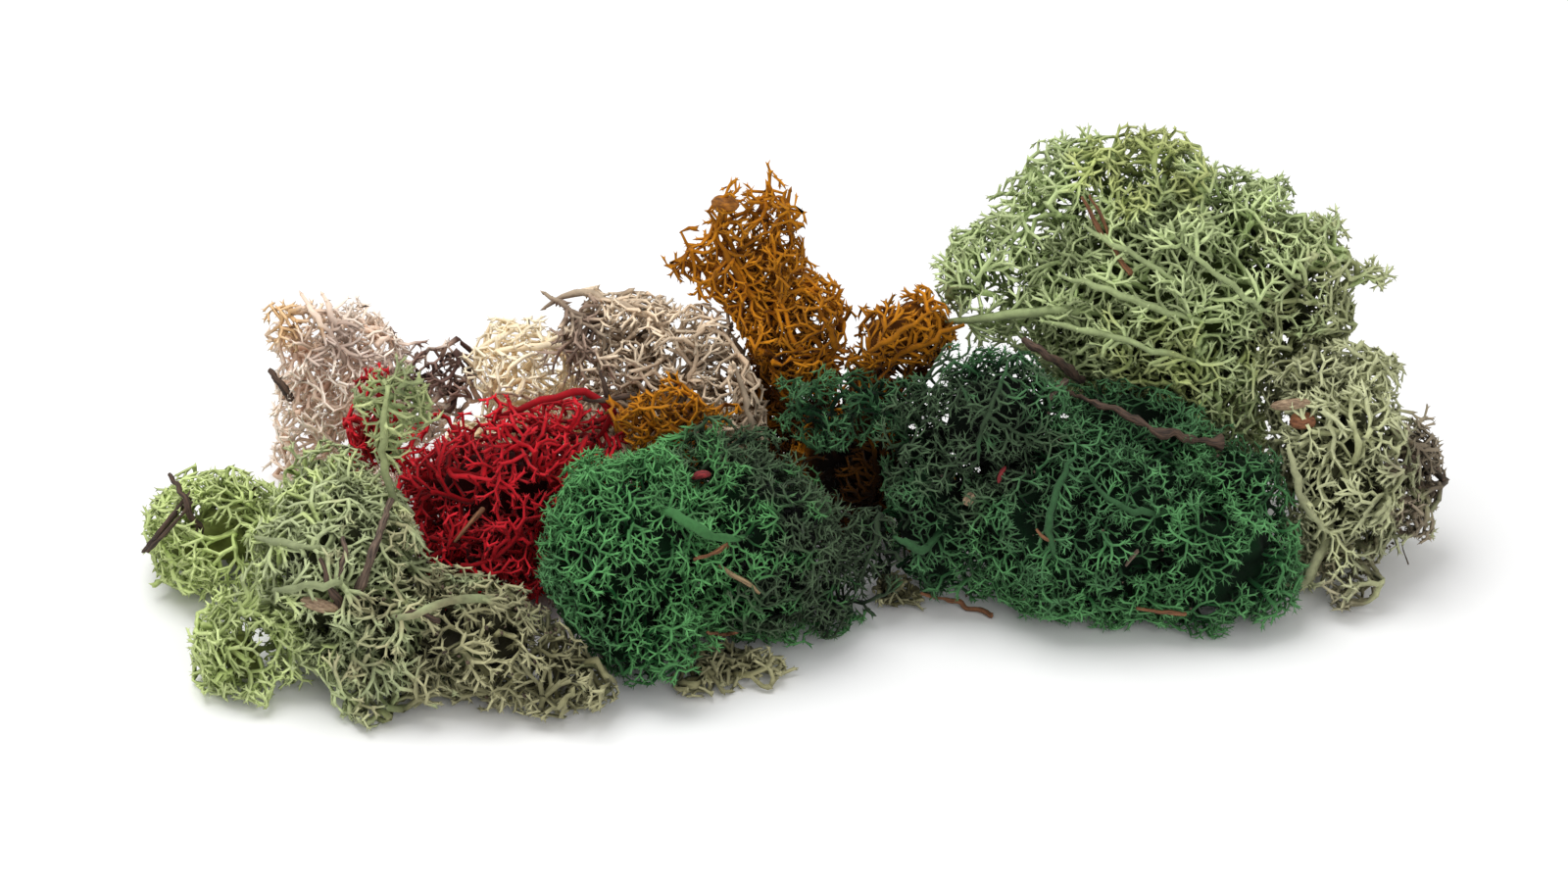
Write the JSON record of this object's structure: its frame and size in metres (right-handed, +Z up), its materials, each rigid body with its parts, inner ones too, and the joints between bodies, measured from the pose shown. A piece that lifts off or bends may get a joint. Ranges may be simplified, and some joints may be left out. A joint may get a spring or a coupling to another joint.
{
  "type": "reindeer moss clump",
  "caption": "Loose heap of preserved reindeer lichen: forked, spiky tufts dyed green, cream, ochre and red, with dry twigs caught in them.",
  "frame": {"origin": "centre of the heap's bounding box in X and Y, at the level of the ground it lies on", "axes": "+X along the heap's length to the right as the picture shows it, +Y away from the camera, +Z up"},
  "size_m": [0.311, 0.1268, 0.1005],
  "materials": {
    "lime_tuft": "matte, dyed light green",
    "mauve_tuft": "matte, greyed mauve",
    "red_tuft": "matte, dyed crimson",
    "cream_tuft": "matte, bleached cream",
    "beige_tuft": "matte, bleached beige",
    "ochre_tuft": "matte, dyed ochre",
    "ochre_side_tuft": "matte, dyed ochre",
    "ochre_front_tuft": "matte, dyed ochre",
    "emerald_front_tuft": "matte, dyed dark green",
    "emerald_right_tuft": "matte, dyed dark green",
    "pale_green_tuft": "matte, dyed pale green",
    "sage_tuft": "matte, greyed olive green",
    "olive_front_tuft": "matte, undyed olive brown",
    "olive_middle_tuft": "matte, undyed olive brown",
    "twig_left_upper": "dry bark",
    "twig_left_lower": "dry bark",
    "stick_lime_long": "dry bark",
    "stick_lime_short": "dry bark",
    "needle_red": "dry, reddish brown",
    "stick_mauve": "dry bark",
    "twig_front": "dry, reddish brown",
    "stick_emerald": "dry bark",
    "root_emerald": "dry, reddish brown",
    "twig_base": "dry, reddish brown",
    "needle_pale_green": "dry, reddish brown",
    "bud_scale": "dry, reddish brown"
  },
  "bodies": {
    "root": {"lime_tuft": "lime_tuft", "mauve_tuft": "mauve_tuft", "red_tuft": "red_tuft", "cream_tuft": "cream_tuft", "beige_tuft": "beige_tuft", "ochre_tuft": "ochre_tuft", "ochre_side_tuft": "ochre_side_tuft", "ochre_front_tuft": "ochre_front_tuft", "emerald_front_tuft": "emerald_front_tuft", "emerald_right_tuft": "emerald_right_tuft", "pale_green_tuft": "pale_green_tuft", "sage_tuft": "sage_tuft", "olive_front_tuft": "olive_front_tuft", "olive_middle_tuft": "olive_middle_tuft", "twig_left_upper": "twig_left_upper", "twig_left_lower": "twig_left_lower", "stick_lime_long": "stick_lime_long", "stick_lime_short": "stick_lime_short", "needle_red": "needle_red", "stick_mauve": "stick_mauve", "twig_front": "twig_front", "stick_emerald": "stick_emerald", "root_emerald": "root_emerald", "twig_base": "twig_base", "needle_pale_green": "needle_pale_green", "bud_scale": "bud_scale"}
  },
  "joints": []
}
